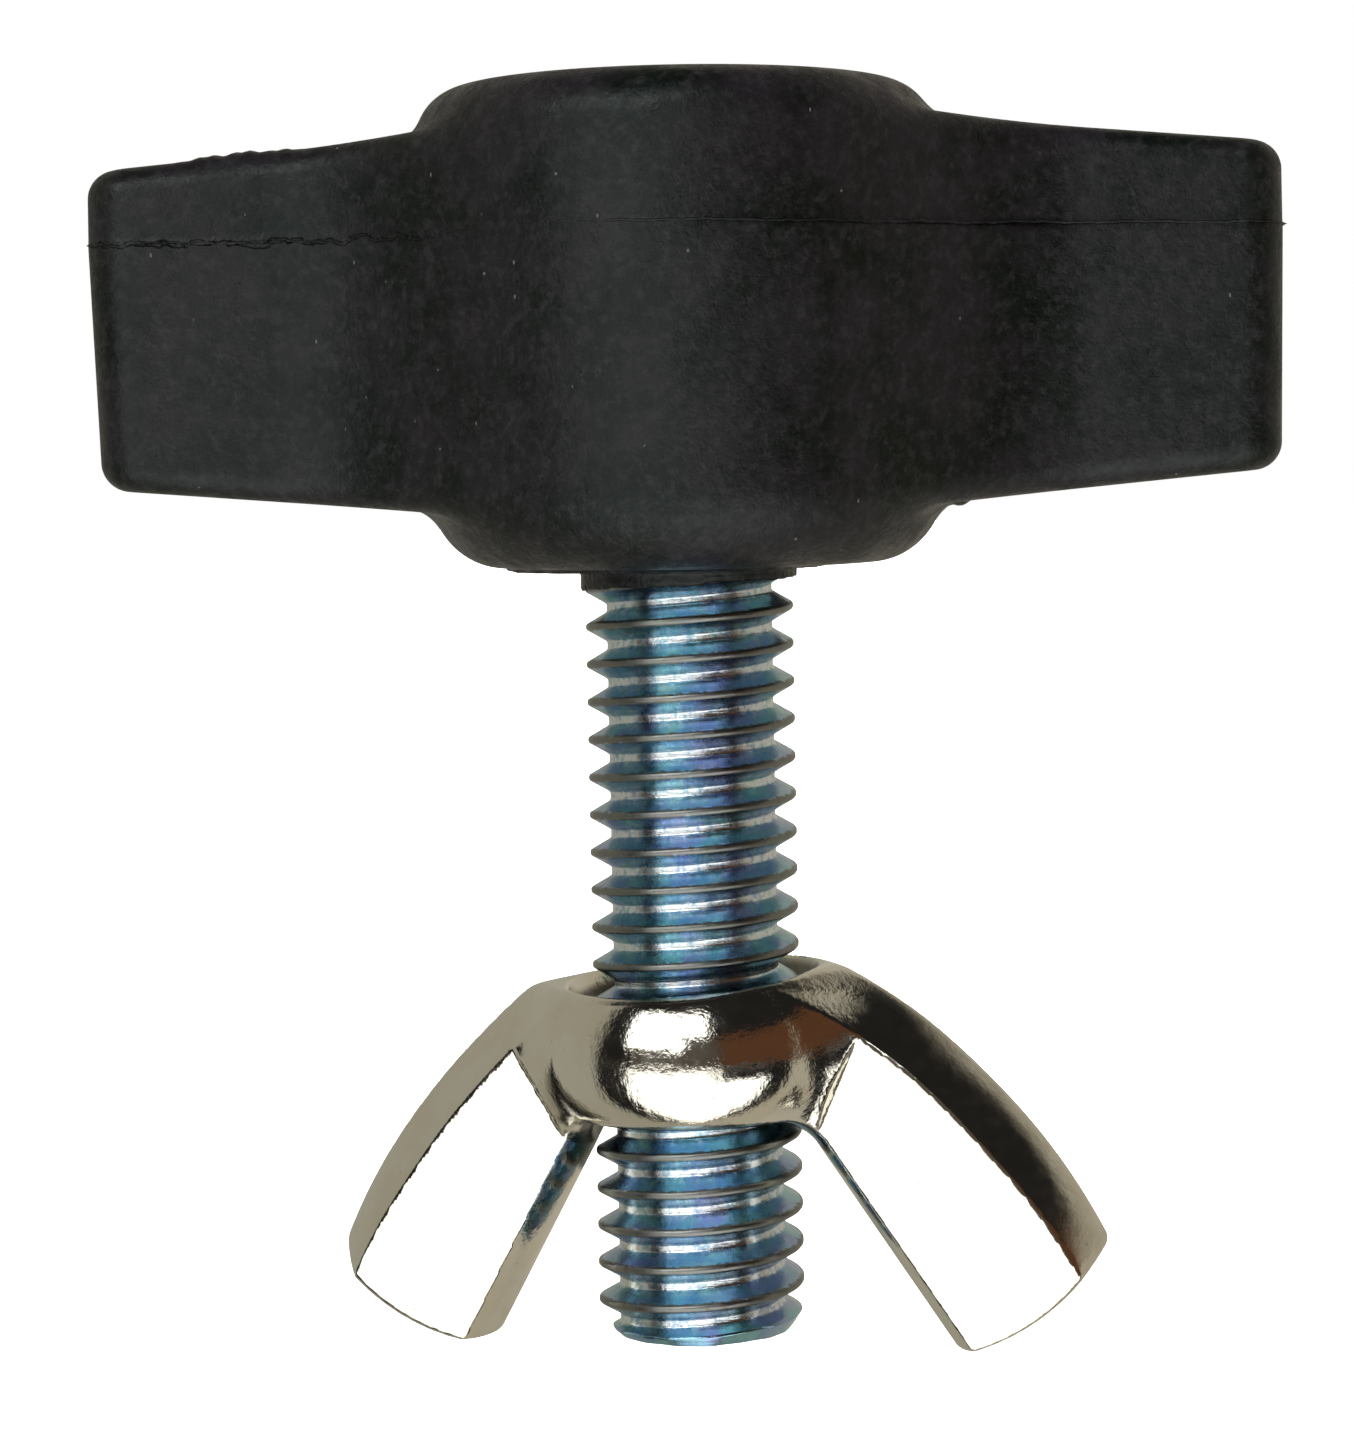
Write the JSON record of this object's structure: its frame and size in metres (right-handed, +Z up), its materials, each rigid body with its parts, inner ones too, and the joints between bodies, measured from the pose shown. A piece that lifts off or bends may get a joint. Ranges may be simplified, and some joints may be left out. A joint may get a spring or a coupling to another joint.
{
  "type": "wing knob with threaded stud and wing nut",
  "caption": "Black moulded wing knob with a zinc-plated threaded stud, and a nickel-plated wing nut screwed onto the stud.",
  "frame": {"origin": "centre of the stud's free end face", "axes": "+Z up the stud towards the knob; +X along the knob's wings; -Y is the front"},
  "size_m": [0.0444, 0.0194, 0.0471],
  "materials": {
    "black_plastic": "moulded black plastic, satin with fine mottling and a flash line at the parting plane",
    "blue_zinc": "bright zinc with blue passivation, iridescent, worn bare at the thread crests",
    "nickel": "bright nickel plate over a casting, warm, slightly uneven reflections"
  },
  "bodies": {
    "knob": {"knob_body": "black_plastic", "stud": "blue_zinc"},
    "nut_core": {"wing_nut_core": "nickel"},
    "wing_nut": {"wing_nut": "nickel"}
  },
  "joints": [
    {"name": "nut_travel", "type": "slide", "parent": "knob", "child": "nut_core", "axis": [0, 0, 1], "range_m": [-0.00988, 0.01411]},
    {"name": "nut_spin", "type": "hinge", "parent": "nut_core", "child": "wing_nut", "pos_m": [0, 0, 0], "axis": [0, 0, 1], "range_deg": [-2522, 3602]}
  ],
  "couplings": [
    {"joint": "nut_spin", "follows": "nut_travel", "rad_per_m": 4452.6}
  ]
}
